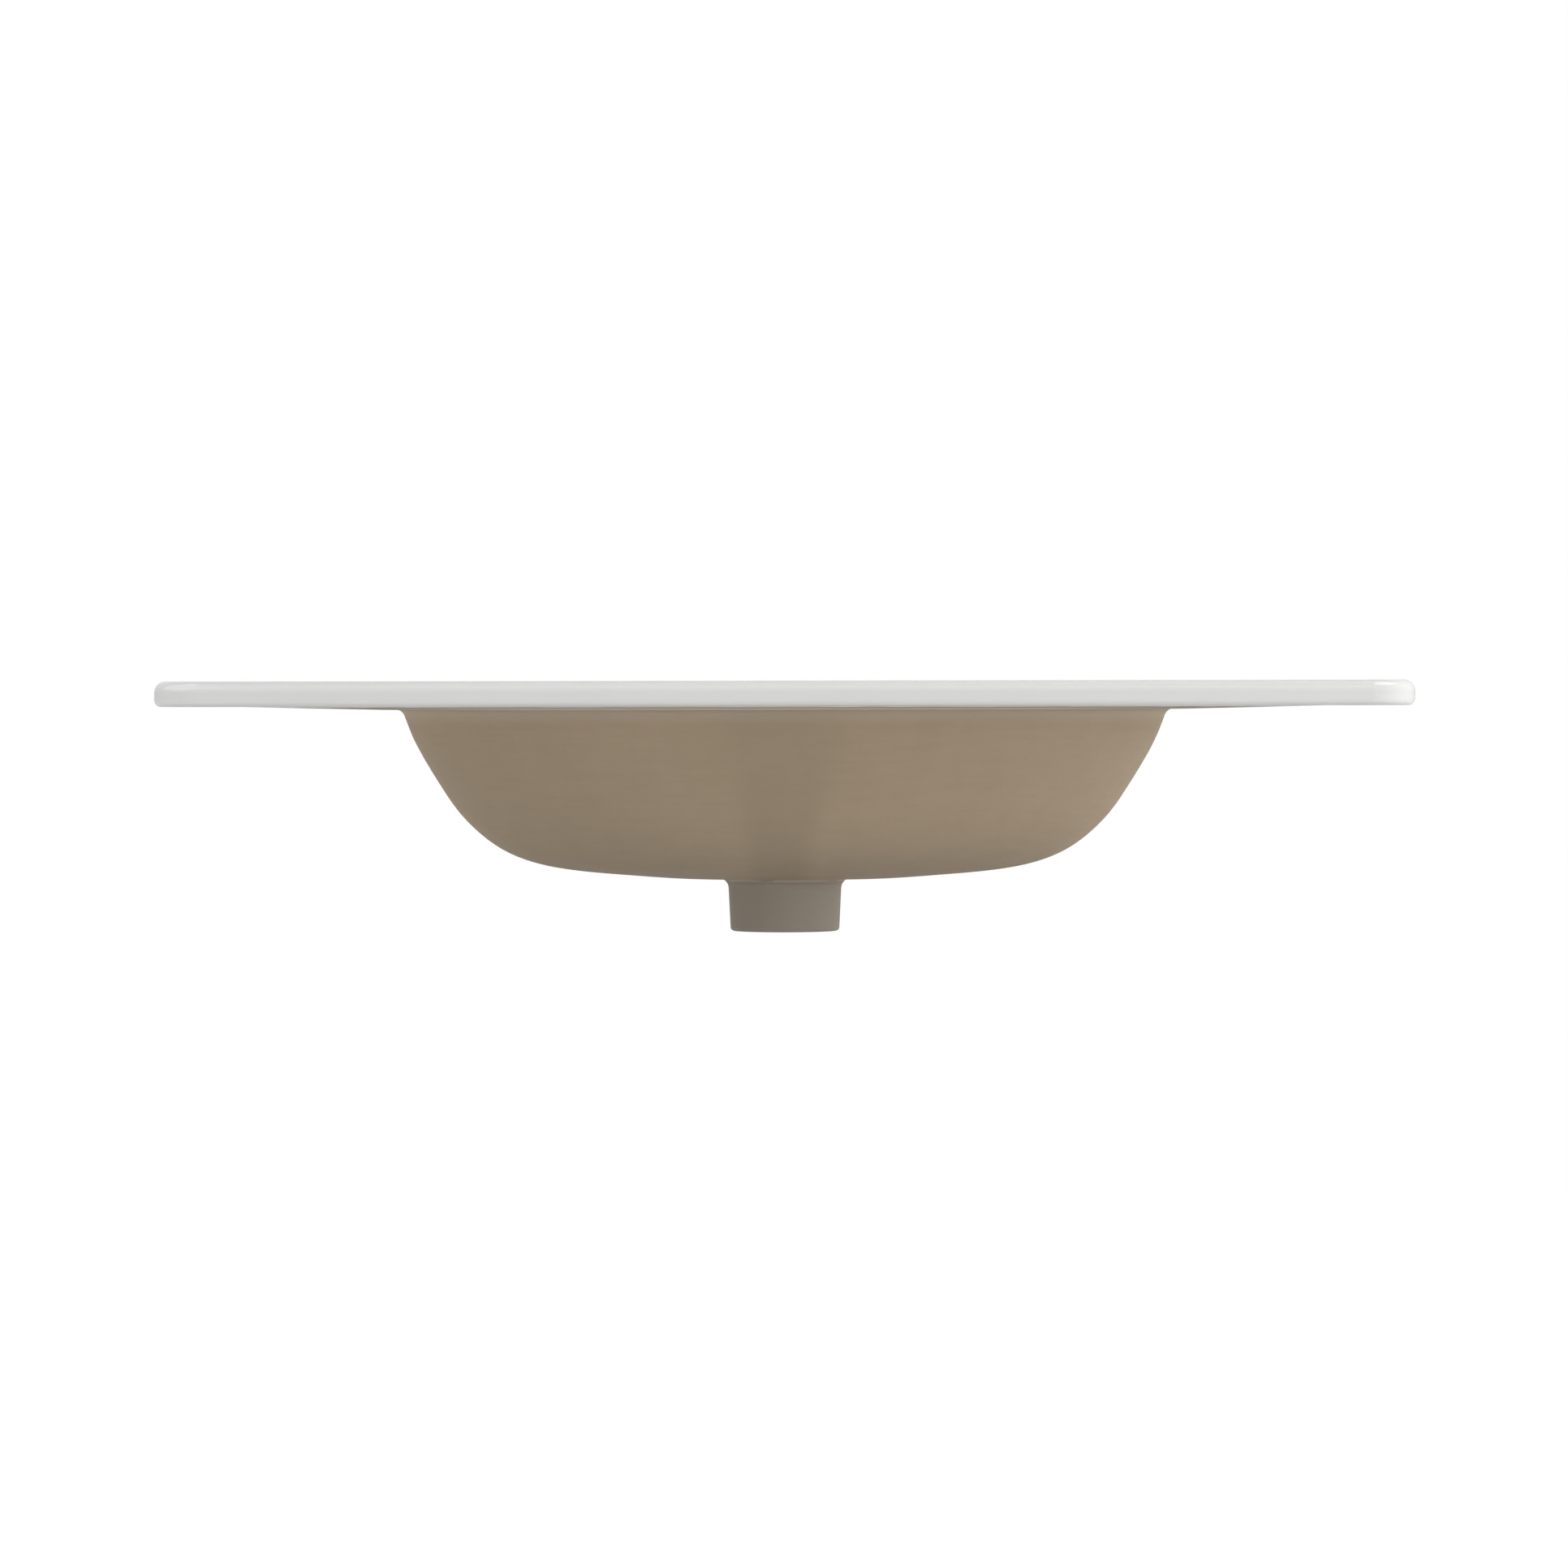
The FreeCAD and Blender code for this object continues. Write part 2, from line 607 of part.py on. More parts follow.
def teeth(base_z, height):
    """Crown of pointed teeth on a level face; a negative height points them down."""
    width = math.tau * PLUNGER_RADIUS / TOOTH_COUNT
    crown = []
    for step in range(TOOTH_COUNT):
        low = vector(0, -width / 2, base_z)
        high = vector(0, width / 2, base_z)
        point = vector(0, 0, base_z + height)
        tooth = Part.Face(Part.makePolygon([low, high, point, low])).extrude(vector(moving_radius, 0, 0))
        tooth.rotate(vector(0, 0, 0), vector(0, 0, 1), 360 * step / TOOTH_COUNT)
        tooth.translate(vector(0, drain_y, 0))
        crown.append(tooth)
    low_z = min(base_z, base_z + height)
    band = drain_ring(PLUNGER_RADIUS, moving_radius, low_z, low_z + abs(height))
    return [tooth.common(band) for tooth in crown]


def plunger():
    rod = drain_cylinder(PLUNGER_RADIUS, head_top_z, cap_boss_z)
    stud = drain_cylinder(STUD_RADIUS, cap_boss_z, cap_boss_z + STUD_LENGTH)
    head = drain_cylinder(moving_radius, head_bottom_z, head_top_z)
    return head.fuse([rod, stud] + teeth(head_bottom_z, -TOOTH_HEIGHT)).removeSplitter()


def click_rotor():
    drum = drain_cylinder(moving_radius, rotor_bottom_z, rotor_top_z)
    return drum.fuse(teeth(rotor_top_z, TOOTH_HEIGHT)).removeSplitter()


def arc_from(start, heading_point, end):
    """Arc from start to end whose end tangents meet at the heading point."""
    middle = (start + end) / 2
    lift = heading_point - middle
    half_chord = (end - start).Length / 2
    sag = half_chord * math.tan(math.atan2(lift.Length, half_chord) / 2)
    return Part.Arc(start, middle + lift * (sag / lift.Length), end).toShape()


def click_spring():
    """Coil spring as one tube on a pair of arcs for each quarter turn."""
    radius = moving_radius - SPRING_WIRE / 2
    low_z = housing_floor_z + SPRING_WIRE / 2 + SPRING_END_GAP
    rise = SPRING_ROOM - SPRING_WIRE - SPRING_END_GAP * 2
    quarters = SPRING_TURNS * 4
    climb = rise / (SPRING_TURNS * math.tau)
    points, headings = [], []
    for quarter in range(quarters + 1):
        angle = math.tau * quarter / 4
        across, along = math.cos(angle), math.sin(angle)
        points.append(vector(radius * across, drain_y + radius * along, low_z + climb * angle))
        heading = vector(-radius * along, radius * across, climb)
        headings.append(heading.normalize())
    edges = []
    for start, end, leave, arrive in zip(points, points[1:], headings, headings[1:]):
        gap = end - start
        bend = 2 * (1 - leave.dot(arrive))
        pull = gap.dot(leave + arrive)
        reach = (math.sqrt(pull * pull + bend * gap.dot(gap)) - pull) / bend
        first = start + leave * reach
        second = end - arrive * reach
        middle = (first + second) / 2
        edges.append(arc_from(start, first, middle))
        edges.append(arc_from(middle, second, end))
    path = Part.Wire(edges)
    section = Part.Wire([Part.makeCircle(SPRING_WIRE / 2, points[0], headings[0])])
    print("click_spring gap between turns", round(rise / SPRING_TURNS - SPRING_WIRE, 3))
    return path.makePipeShell([section], True, False)


def plug_cap():
    """Domed shell with a boss for the plunger's stud and a groove for the seal."""
    top_z = cap_bottom_z + CAP_RIM + CAP_RISE
    ball_radius = (cap_radius ** 2 + CAP_RISE ** 2) / (CAP_RISE * 2)
    ball = Part.makeSphere(ball_radius, vector(0, drain_y, top_z - ball_radius))
    dome = drain_cylinder(cap_radius, cap_bottom_z, top_z).common(ball)
    dome = dome.makeFillet(CAP_RIM_ROUND, edges_at(dome, cap_bottom_z + CAP_RIM))
    pocket_z = cap_bottom_z + CAP_POCKET
    pocket_radius = plug_seal_inner - PLUG_SEAL_GROOVE
    dome = dome.cut(drain_ring(CAP_BOSS_RADIUS, pocket_radius, cap_bottom_z, pocket_z))
    groove_z = cap_bottom_z + PLUG_SEAL_GROOVE
    dome = dome.cut(drain_ring(plug_seal_inner, plug_seal_outer, cap_bottom_z, groove_z))
    cap = dome.fuse(drain_cylinder(CAP_BOSS_RADIUS, cap_boss_z, cap_bottom_z)).removeSplitter()
    return cap.cut(drain_cylinder(STUD_RADIUS + THREAD_FIT, cap_boss_z, cap_boss_z + STUD_LENGTH))


def plug_seal():
    low_z = plug_seat_z + PLUG_GAP
    return drain_ring(plug_seal_inner, plug_seal_outer, low_z, cap_bottom_z + PLUG_SEAL_GROOVE)


PIECES = (
    basin,
    overflow_ring,
    flange_seal,
    waste_body,
    lower_seal,
    friction_washer,
    back_nut,
    cartridge_screw,
    cartridge_housing,
    cartridge_collar,
    plunger,
    click_rotor,
    click_spring,
    plug_cap,
    plug_seal,
)

os.makedirs("parts", exist_ok=True)
for piece in PIECES:
    shape = piece()
    if len(shape.Solids) != 1 or not shape.isValid():
        raise ValueError(piece.__name__ + " is not one valid solid")
    shape.Solids[0].exportStep("parts/" + piece.__name__ + ".step")
    print(piece.__name__, round(shape.Volume), "mm3")
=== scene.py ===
import math
from typing import NamedTuple

import bpy
from mathutils import Matrix, Vector

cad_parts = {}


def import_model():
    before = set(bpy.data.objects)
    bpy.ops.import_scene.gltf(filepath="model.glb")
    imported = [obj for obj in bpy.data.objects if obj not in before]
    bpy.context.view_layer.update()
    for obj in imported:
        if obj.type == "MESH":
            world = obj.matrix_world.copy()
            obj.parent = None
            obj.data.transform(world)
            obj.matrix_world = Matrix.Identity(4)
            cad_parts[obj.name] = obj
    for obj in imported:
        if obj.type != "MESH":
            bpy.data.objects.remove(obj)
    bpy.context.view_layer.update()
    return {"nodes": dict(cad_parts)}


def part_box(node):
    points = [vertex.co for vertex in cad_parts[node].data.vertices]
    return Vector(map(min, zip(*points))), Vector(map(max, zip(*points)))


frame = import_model()
nodes = frame["nodes"]

# Where the photograph puts the basin, in pixels of its square frame
PHOTO_SIDE = 1932
DECK_PIXELS = 1554
DECK_MIDDLE_PIXEL = 967
EYE_LEVEL_PIXEL = 845
ROLL_DEGREES = -0.094

# Camera: straight in front, so far back that the view is nearly flat.
# The deck's rounded corners make it look widest a little behind its front.
CAMERA_DISTANCE = 4.2
CAMERA_HEIGHT = 0.0127
WIDEST_SETBACK = 0.0254
SENSOR_WIDTH = 36.0

deck_low, deck_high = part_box("basin")
deck_width = deck_high.x - deck_low.x
waste_low, waste_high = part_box("waste_body")
drain_x = (waste_low.x + waste_high.x) / 2
drain_y = (waste_low.y + waste_high.y) / 2


class Noise(NamedTuple):
    """A noise pattern: features per metre, octaves, and how much the finer octaves count."""
    scale: float
    detail: float = 3.0
    roughness: float = 0.5


class Span(NamedTuple):
    """Two levels of a value: a mark is absent at the first and full at the second."""
    start: float
    full: float


class Lamp(NamedTuple):
    """An area lamp: where it stands, what it points at, its size in metres and its watts."""
    place: tuple
    target: tuple
    width: float
    height: float
    power: float


class Graph:
    """A node tree, with short ways to add nodes and join them."""

    def __init__(self, owner, output="ShaderNodeOutputMaterial"):
        owner.use_nodes = True
        self.tree = owner.node_tree
        self.tree.nodes.clear()
        self.output = self.add(output)

    def add(self, kind, inputs=None, **settings):
        node = self.tree.nodes.new(kind)
        for name, value in settings.items():
            setattr(node, name, value)
        for socket, value in (inputs or {}).items():
            self.set(node.inputs[socket], value)
        return node

    def set(self, socket, value):
        if isinstance(value, bpy.types.NodeSocket):
            self.tree.links.new(value, socket)
        else:
            socket.default_value = value

    def math(self, operation, first, second=0.0):
        return self.add("ShaderNodeMath", {0: first, 1: second}, operation=operation).outputs[0]

    def times(self, *values):
        """Product of two or more values."""
        product = values[0]
        for value in values[1:]:
            product = self.math("MULTIPLY", product, value)
        return product

    def apart(self, value, level):
        """How far a value is from a level, either way."""
        return self.math("ABSOLUTE", self.math("SUBTRACT", value, level))

    def ramp(self, value, span, result=(0.0, 1.0), interpolation="SMOOTHSTEP"):
        """Map a value over a span to the two numbers of result."""
        inputs = {
            "Value": value, "From Min": span.start, "From Max": span.full,
            "To Min": result[0], "To Max": result[1]}
        return self.add("ShaderNodeMapRange", inputs, interpolation_type=interpolation).outputs["Result"]

    def mix(self, share, first, second):
        """Mix two colours."""
        node = self.add("ShaderNodeMix", {0: share, 6: first, 7: second}, data_type="RGBA")
        return node.outputs[2]

    def blend(self, share, first, second):
        """Mix two numbers."""
        node = self.add("ShaderNodeMix", {0: share, 2: first, 3: second}, data_type="FLOAT")
        return node.outputs[0]

    def position(self):
        return self.add("ShaderNodeTexCoord").outputs["Object"]

    def split(self, vector):
        return self.add("ShaderNodeSeparateXYZ", {"Vector": vector}).outputs

    def noise(self, vector, noise):
        inputs = {
            "Vector": vector, "Scale": noise.scale,
            "Detail": noise.detail, "Roughness": noise.roughness}
        return self.add("ShaderNodeTexNoise", inputs).outputs["Fac"]

    def marks(self, vector, noise, span):
        """Soft marks where a noise goes through a span."""
        return self.ramp(self.noise(vector, noise), span)

    def stretched(self, vector, scale):
        return self.add("ShaderNodeMapping", {"Vector": vector, "Scale": scale}).outputs["Vector"]

    def bump(self, height, distance):
        inputs = {"Height": height, "Distance": distance, "Strength": BUMP_STRENGTH}
        return self.add("ShaderNodeBump", inputs).outputs["Normal"]

    def principled(self, **inputs):
        named = {name.replace("_", " "): value for name, value in inputs.items()}
        return self.add("ShaderNodeBsdfPrincipled", named)

    def show(self, shader):
        self.tree.links.new(shader.outputs[0], self.output.inputs["Surface"])


def rgb(red, green, blue):
    return (red, green, blue, 1.0)


WHITE = rgb(1.0, 1.0, 1.0)
BUMP_STRENGTH = 0.5
NOISE_MIDDLE = 0.5
MIDDLE_SPAN = Span(0.3, 0.7)
WHOLE_SPAN = Span(0.0, 1.0)

# Glaze: colours, the line where it stops on the deck's edge, and how it thins, pools and ripples
GLAZE = rgb(0.80, 0.80, 0.79)
GLAZE_THIN = rgb(0.75, 0.735, 0.71)
GLAZE_LINE = -0.0006
GLAZE_FADE = 0.0008
GLAZE_WANDER = 0.0008
WANDER_NOISE = Noise(45.0)
FACING_UP_SPAN = Span(0.03, 0.12)
THIN_RISE = 0.0022
THIN_SHARE = 0.6
POOL_NOISE = Noise(9.0, 2.0)
POOL_SPAN = Span(0.35, 0.65)
POOL_SHARE = 0.10
RIPPLE_NOISE = Noise(11.0, 1.0)
RIPPLE_HEIGHT = 0.05
GLAZE_NOISE = Noise(14.0, 2.0)
GLAZE_ROUGHNESS = (0.088, 0.102)
GLAZE_INDEX = 1.5

# Bare clay: colours, then its marks from broad to fine
BODY = rgb(0.374, 0.291, 0.201)
BODY_PALE = rgb(0.408, 0.320, 0.227)
BODY_DARK = rgb(0.312, 0.244, 0.165)
# Colour of the iron specks, also used as painted shade in the boss's crease
SPECK_AND_CREASE_SHADE = rgb(0.16, 0.12, 0.09)
CLOUD_NOISE = Noise(7.0, 3.0, 0.55)
CLOUD_SHARE = 0.35
STREAK_STRETCH = (70.0, 70.0, 7.0)
STREAK_NOISE = Noise(1.0, 4.0)
STREAK_SPAN = Span(0.35, 0.7)
STREAK_SHARE = 0.14
SPONGE_STRETCH = (30.0, 30.0, 300.0)
SPONGE_NOISE = Noise(1.0)
SPONGE_SPAN = Span(0.42, 0.68)
SPONGE_SHARE = 0.16
GRAIN_NOISE = Noise(900.0, 4.0, 0.65)
GRAIN_SPAN = Span(0.35, 0.7)
GRAIN_SHARE = 0.12
SPECK_SCALE = 160.0
SPECK_SPAN = Span(0.07, 0.03)
SPECK_PATCH_NOISE = Noise(31.0)
SPECK_PATCH_SPAN = Span(0.62, 0.7)
SPECK_SHARE = 0.5
PIT_NOISE = Noise(1600.0, 3.0, 0.7)
PIT_HEIGHT = 0.22
STREAK_HEIGHT = 0.10
CERAMIC_RELIEF = 0.0004
BODY_ROUGHNESS = (0.66, 0.80)

# Painted shade: a darker funnel down the middle of the front wall to the boss, where the side lamps reach
# least; its half width and strength change with the level
FUNNEL_PAINTED_SHADE = rgb(0.270, 0.211, 0.144)
FUNNEL_MIDDLE = -0.003
FUNNEL_WIDTH_SPAN = Span(-0.105, -0.005)
FUNNEL_HALF_WIDTHS = (0.020, 0.042)
FUNNEL_EDGE_SPAN = Span(1.35, 0.45)
FUNNEL_FRONT_SPAN = Span(drain_y - 0.02, drain_y - 0.04)
FUNNEL_DEPTH_SPAN = Span(-0.03, -0.095)
FUNNEL_SHARES = (0.24, 0.45)

# Step under the glazed edge: painted shadow in the seam, a pale lip that is partly a smear of glaze and
# partly painted highlight, and a band of painted light that fades down the wall under the deck's overhang
PAINTED_HIGHLIGHT_PALE = rgb(0.540, 0.460, 0.370)
SEAM_PAINTED_SHADOW = rgb(0.20, 0.155, 0.11)
SEAM_FOOT = -0.0017
SEAM_SHADOW_SHARE = 0.5
LIP_FOOT = -0.0030
LIP_FADE = 0.0005
LIT_BAND_DROP = 0.011
LIT_BAND_SHARE = 0.38

# Outlet boss: greyer than the bowl, with a broken painted highlight along the ridge over painted shade in
# the crease at the top of its fillet
BOSS_BODY = rgb(0.264, 0.228, 0.185)
BOSS_REACH_SPAN = Span(0.045, 0.041)
BOSS_TOP_SPAN = Span(-0.1131, -0.1171)
CREASE_LEVEL = -0.1164
CREASE_SPAN = Span(0.0013, 0.0)
CREASE_SHADE_SHARE = 0.22
RIDGE_LEVEL = -0.1146
RIDGE_SPAN = Span(0.0009, 0.0)
RIDGE_REACH_SPAN = Span(0.052, 0.046)
RIDGE_NOISE = Noise(60.0, 1.0)
RIDGE_BREAK_SPAN = Span(0.42, 0.56)
RIDGE_HIGHLIGHT_SHARE = 0.55


class Spot:
    """Where a point of the ceramic is: its place, its level, and its distance from the drain's axis."""

    def __init__(self, graph):
        self.place = graph.position()
        parts = graph.split(self.place)
        self.x = parts["X"]
        self.y = parts["Y"]
        self.level = parts["Z"]
        wander = graph.math("SUBTRACT", graph.noise(self.place, WANDER_NOISE), NOISE_MIDDLE)
        self.edge_level = graph.math("ADD", self.level, graph.times(wander, GLAZE_WANDER))
        across = graph.math("SUBTRACT", self.x, drain_x)
        along = graph.math("SUBTRACT", self.y, drain_y)
        squared = graph.math("ADD", graph.times(across, across), graph.times(along, along))
        self.from_drain = graph.math("SQRT", squared)


def glaze_cover(graph, spot):
    """Where the glaze lies: on what faces up and on the deck's edge, and its colour there."""
    normal = graph.add("ShaderNodeNewGeometry").outputs["Normal"]
    facing_up = graph.ramp(graph.split(normal)["Z"], FACING_UP_SPAN)
    edge_span = Span(GLAZE_LINE - GLAZE_FADE / 2, GLAZE_LINE + GLAZE_FADE / 2)
    glazed = graph.math("MAXIMUM", graph.ramp(spot.edge_level, edge_span), facing_up)
    pool = graph.marks(spot.place, POOL_NOISE, POOL_SPAN)
    colour = graph.mix(graph.times(pool, POOL_SHARE), GLAZE, GLAZE_THIN)
    thin = graph.ramp(spot.edge_level, Span(GLAZE_LINE + THIN_RISE, GLAZE_LINE))
    on_side = graph.math("SUBTRACT", 1.0, facing_up)
    colour = graph.mix(graph.times(thin, on_side, THIN_SHARE), colour, GLAZE_THIN)
    return glazed, colour


def bare_clay(graph, place, streak, grain):
    """Cloudy clay with streaks down the wall, sponge marks along it, grain and a few iron specks."""
    cloud = graph.marks(place, CLOUD_NOISE, MIDDLE_SPAN)
    sponge = graph.marks(graph.stretched(place, SPONGE_STRETCH), SPONGE_NOISE, SPONGE_SPAN)
    body = graph.mix(graph.times(cloud, CLOUD_SHARE), BODY, BODY_PALE)
    body = graph.mix(graph.times(streak, STREAK_SHARE), body, BODY_DARK)
    body = graph.mix(graph.times(sponge, SPONGE_SHARE), body, BODY_DARK)
    body = graph.mix(graph.times(graph.ramp(grain, GRAIN_SPAN), GRAIN_SHARE), body, BODY_DARK)
    cells = graph.add("ShaderNodeTexVoronoi", {"Vector": place, "Scale": SPECK_SCALE})
    speck = graph.ramp(cells.outputs["Distance"], SPECK_SPAN)
    patch = graph.marks(place, SPECK_PATCH_NOISE, SPECK_PATCH_SPAN)
    return graph.mix(graph.times(speck, patch, SPECK_SHARE), body, SPECK_AND_CREASE_SHADE)


def paint_funnel_shade(graph, spot, body):
    """Paint shade down the middle of the front wall, narrowing to the boss."""
    half_width = graph.ramp(spot.level, FUNNEL_WIDTH_SPAN, FUNNEL_HALF_WIDTHS)
    aside = graph.apart(spot.x, FUNNEL_MIDDLE)
    funnel = graph.ramp(graph.math("DIVIDE", aside, half_width), FUNNEL_EDGE_SPAN)
    forward = graph.ramp(spot.y, FUNNEL_FRONT_SPAN)
    strength = graph.ramp(spot.level, FUNNEL_DEPTH_SPAN, FUNNEL_SHARES)
    return graph.mix(graph.times(funnel, forward, strength), body, FUNNEL_PAINTED_SHADE)


def paint_lip_light_and_shadow(graph, spot, body):
    """Mark the step under the glazed edge: the band of painted light and the pale lip, then the painted
    shadow of the seam over them.
    """
    lip_highlight = graph.ramp(spot.edge_level, Span(LIP_FOOT, LIP_FOOT + LIP_FADE))
    lit_band = graph.ramp(spot.level, Span(LIP_FOOT - LIT_BAND_DROP, LIP_FOOT))
    body = graph.mix(graph.math("MAXIMUM", lip_highlight, graph.times(lit_band, LIT_BAND_SHARE)), body, PAINTED_HIGHLIGHT_PALE)
    seam_shadow = graph.ramp(spot.edge_level, Span(SEAM_FOOT, SEAM_FOOT + LIP_FADE))
    return graph.mix(graph.times(seam_shadow, SEAM_SHADOW_SHARE), body, SEAM_PAINTED_SHADOW)


def paint_boss_shading(graph, spot, body):
    """Grey the outlet boss, and paint the shade in the crease and the broken highlight on the ridge round
    its top.
    """
    near = graph.ramp(spot.from_drain, BOSS_REACH_SPAN)
    below = graph.ramp(spot.edge_level, BOSS_TOP_SPAN)
    body = graph.mix(graph.times(near, below), body, BOSS_BODY)
    crease_shade = graph.ramp(graph.apart(spot.edge_level, CREASE_LEVEL), CREASE_SPAN)
    # Painted shade in the crease at the top of the boss's fillet
    body = graph.mix(graph.times(near, crease_shade, CREASE_SHADE_SHARE), body, SPECK_AND_CREASE_SHADE)
    ridge_highlight = graph.ramp(graph.apart(spot.edge_level, RIDGE_LEVEL), RIDGE_SPAN)
    beside = graph.ramp(spot.from_drain, RIDGE_REACH_SPAN)
    broken = graph.marks(spot.place, RIDGE_NOISE, RIDGE_BREAK_SPAN)
    # Painted highlight along the ridge, broken by noise
    return graph.mix(graph.times(beside, ridge_highlight, broken, RIDGE_HIGHLIGHT_SHARE), body, PAINTED_HIGHLIGHT_PALE)


def ceramic():
    """White glaze on the deck, edges and bowl; bare buff body under them."""
    material = bpy.data.materials.new("glazed_ceramic")
    graph = Graph(material)
    spot = Spot(graph)
    streak = graph.marks(graph.stretched(spot.place, STREAK_STRETCH), STREAK_NOISE, STREAK_SPAN)
    grain = graph.noise(spot.place, GRAIN_NOISE)
    glazed, glaze = glaze_cover(graph, spot)
    body = bare_clay(graph, spot.place, streak, grain)
    # Painted shade down the middle of the front wall
    body = paint_funnel_shade(graph, spot, body)
    # Painted light, highlight and shadow at the step under the glazed edge
    body = paint_lip_light_and_shadow(graph, spot, body)
    # Painted shade and highlight round the top of the boss
    body = paint_boss_shading(graph, spot, body)

    pits = graph.times(graph.noise(spot.place, PIT_NOISE), PIT_HEIGHT)
    rough_skin = graph.math("ADD", pits, graph.times(streak, STREAK_HEIGHT))
    ripple = graph.times(graph.noise(spot.place, RIPPLE_NOISE), RIPPLE_HEIGHT)
    relief = graph.bump(graph.blend(glazed, rough_skin, ripple), CERAMIC_RELIEF)
    glaze_rough = graph.ramp(graph.noise(spot.place, GLAZE_NOISE), MIDDLE_SPAN, GLAZE_ROUGHNESS)
    body_rough = graph.ramp(grain, MIDDLE_SPAN, BODY_ROUGHNESS)
    shader = graph.principled(
        Base_Color=graph.mix(glazed, body, glaze), IOR=GLAZE_INDEX, Normal=relief,
        Roughness=graph.blend(glazed, body_rough, glaze_rough))
    graph.show(shader)
    return material


# Metal: smears that dull it, fine grain, and the rings that a lathe leaves
SMEAR_NOISE = Noise(55.0, 4.0, 0.6)
SMEAR_SPAN = Span(0.35, 0.7)
SMEAR_SHARE = 0.35
SMEAR_ROUGHER = 1.6
SMEAR_HAZE = 0.02
METAL_NOISE = Noise(700.0, 2.0)
METAL_GRAIN_HEIGHT = 0.15
METAL_RELIEF = 0.00005
RINGS_PER_METRE = 16000.0


def metal(name, colour, tarnish, roughness, turning=0.0):
    """Plated or turned metal with faint smears, and lathe rings where it was turned."""
    material = bpy.data.materials.new(name)
    graph = Graph(material)
    place = graph.position()
    smear = graph.marks(place, SMEAR_NOISE, SMEAR_SPAN)
    shade = graph.mix(graph.times(smear, SMEAR_SHARE), colour, tarnish)
    rough = graph.ramp(smear, WHOLE_SPAN, (roughness, roughness * SMEAR_ROUGHER + SMEAR_HAZE))
    rings = graph.math("SINE", graph.times(graph.split(place)["Z"], RINGS_PER_METRE))
    grain = graph.times(graph.noise(place, METAL_NOISE), METAL_GRAIN_HEIGHT)
    relief = graph.bump(graph.math("ADD", graph.times(rings, turning), grain), METAL_RELIEF)
    graph.show(graph.principled(Base_Color=shade, Metallic=1.0, Roughness=rough, Normal=relief))
    return material


# Rubber and plastic: uneven bloom and the fine texture of the mould
BLOOM_NOISE = Noise(90.0, 4.0, 0.6)
BLOOM_SHARE = 0.5
BLOOM_HAZE = 0.15
MOULD_NOISE = Noise(1800.0, 2.0)
MOULD_RELIEF = 0.00006


def moulded(name, colour, shadow, roughness):
    """Rubber or plastic with a fine moulded texture and uneven bloom."""
    material = bpy.data.materials.new(name)
    graph = Graph(material)
    place = graph.position()
    bloom = graph.marks(place, BLOOM_NOISE, MIDDLE_SPAN)
    shade = graph.mix(graph.times(bloom, BLOOM_SHARE), colour, shadow)
    rough = graph.ramp(bloom, WHOLE_SPAN, (roughness, roughness + BLOOM_HAZE))
    relief = graph.bump(graph.noise(place, MOULD_NOISE), MOULD_RELIEF)
    graph.show(graph.principled(Base_Color=shade, Roughness=rough, Normal=relief))
    return material


CHROME = rgb(0.60, 0.61, 0.62)
CHROME_DULL = rgb(0.50, 0.51, 0.53)
BRASS = rgb(0.80, 0.60, 0.30)
BRASS_DULL = rgb(0.58, 0.41, 0.20)
STEEL = rgb(0.62, 0.62, 0.63)
STEEL_DULL = rgb(0.46, 0.46, 0.47)
RUBBER = rgb(0.020, 0.020, 0.021)
RUBBER_BLOOM = rgb(0.045, 0.044, 0.043)
SILICONE = rgb(0.66, 0.66, 0.63)
SILICONE_SHADOW = rgb(0.55, 0.55, 0.52)
WHITE_ACETAL = rgb(0.72, 0.72, 0.69)
WHITE_ACETAL_SHADOW = rgb(0.60, 0.59, 0.56)
DARK_ACETAL = rgb(0.035, 0.036, 0.040)
DARK_ACETAL_BLOOM = rgb(0.060, 0.060, 0.064)


def dress(material, *names):
    """Give CAD nodes their finish."""
    for name in names:
        slots = nodes[name].data.materials
        slots.clear()
        slots.append(material)


def dress_all():
    """Every node's finish, from the basin to the pieces inside the waste."""
    plate = metal("polished_plate", CHROME, CHROME_DULL, roughness=0.05)
    brass = metal("turned_brass", BRASS, BRASS_DULL, roughness=0.22, turning=0.6)
    steel = metal("bright_steel", STEEL, STEEL_DULL, roughness=0.25)
    rubber = moulded("black_rubber", RUBBER, RUBBER_BLOOM, roughness=0.62)
    silicone = moulded("clear_silicone", SILICONE, SILICONE_SHADOW, roughness=0.45)
    white_acetal = moulded("white_acetal", WHITE_ACETAL, WHITE_ACETAL_SHADOW, roughness=0.42)
    dark_acetal = moulded("dark_acetal", DARK_ACETAL, DARK_ACETAL_BLOOM, roughness=0.40)
    dress(ceramic(), "basin")
    dress(plate, "overflow_ring", "waste_body", "plug_cap")
    dress(brass, "back_nut", "cartridge_collar", "plunger")
    dress(steel, "cartridge_screw", "click_spring")
    dress(rubber, "lower_seal", "plug_seal")
    dress(silicone, "flange_seal")
    dress(white_acetal, "cartridge_housing", "friction_washer")
    dress(dark_acetal, "click_rotor")


# Floor: pale paper as far below the deck as a vanity's height, which fades to plain white
FLOOR_DEPTH = 0.85
FLOOR_SIDE = 14.0
FLOOR_COLOUR = rgb(0.36, 0.36, 0.36)
FLOOR_COLOUR_WORN = rgb(0.33, 0.33, 0.33)
FLOOR_NOISE = Noise(40.0)
FLOOR_ROUGHNESS = 0.9
FLOOR_MIRRORED = 0.5
GLOW_SPAN = Span(0.6, 2.0)
GLOW_LEVELS = (0.70, 1.0)


